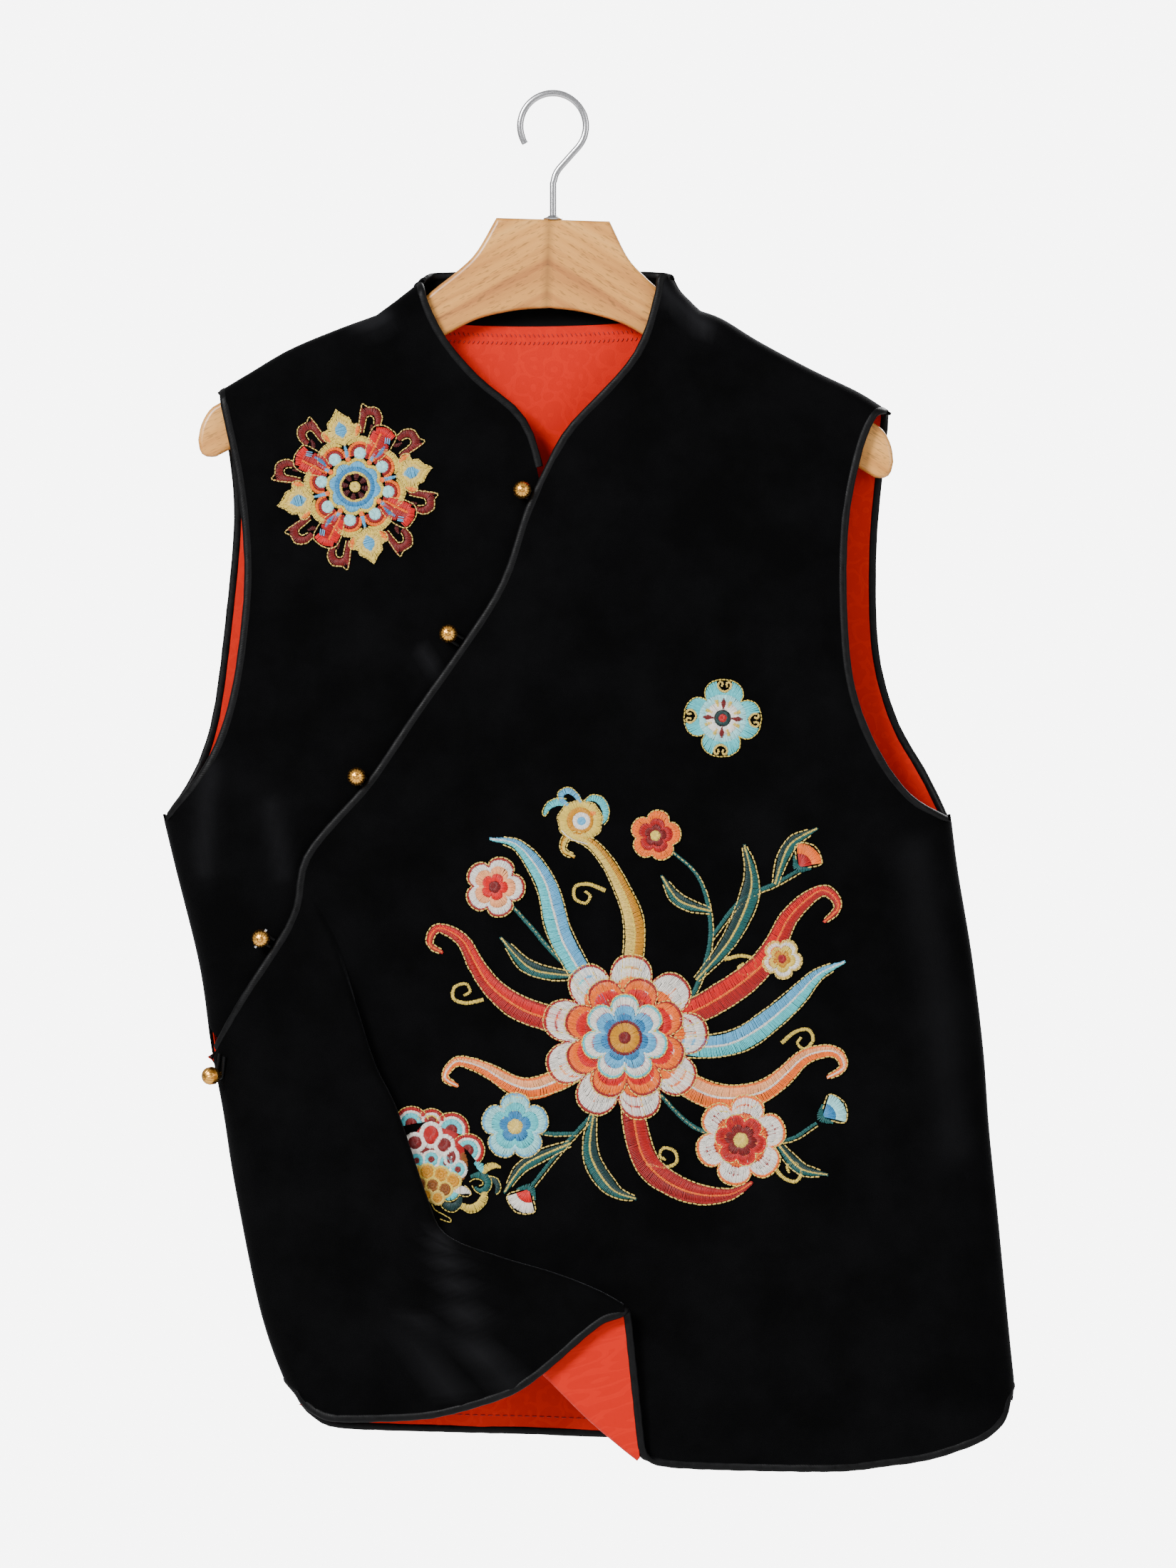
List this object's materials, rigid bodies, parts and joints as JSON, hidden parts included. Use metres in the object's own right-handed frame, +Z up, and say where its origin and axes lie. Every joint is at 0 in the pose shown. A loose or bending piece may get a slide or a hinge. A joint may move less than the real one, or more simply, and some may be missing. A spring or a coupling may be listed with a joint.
{
  "type": "sleeveless slant-closing embroidered velvet vest with stand collar, hung on a wooden clothes hanger",
  "caption": "Sleeveless velvet vest with a stand collar, a slanting buttoned closing, bound edges and a folded front hem, hanging on a flat wooden hanger with a wire hook.",
  "frame": {"origin": "inner top of the hanger's hook, where a rail carries it, in the middle plane between the garment's front and back", "axes": "+X to the right as seen from the front, +Y from the front to the back, +Z up; the garment's front faces -Y"},
  "size_m": [0.4897, 0.0608, 0.7932],
  "materials": {
    "velvet": "black cotton velvet with a short soft nap",
    "lining": "red jacquard satin with a tone-on-tone pattern",
    "binding": "black satin",
    "gold": "polished gold-coloured metal with an engraved flower",
    "beech": "clear satin lacquer on beech",
    "steel": "bright plated wire"
  },
  "bodies": {
    "root": {"left_front": "velvet", "right_front": "velvet", "back": "velvet", "collar": "velvet", "left_front_lining": "lining", "right_front_lining": "lining", "back_lining": "lining", "front_edge_binding": "binding", "front_hem_binding": "binding", "right_neck_binding": "binding", "back_hem_binding": "binding", "collar_binding": "binding", "left_armhole_binding_front": "binding", "left_armhole_binding_back": "binding", "right_armhole_binding_front": "binding", "right_armhole_binding_back": "binding", "button_1": "gold", "button_2": "gold", "button_3": "gold", "button_4": "gold", "button_5": "gold", "loop_1": "binding", "loop_2": "binding", "loop_3": "binding", "loop_4": "binding", "loop_5": "binding", "hanger": "beech", "hook": "steel"}
  },
  "joints": []
}
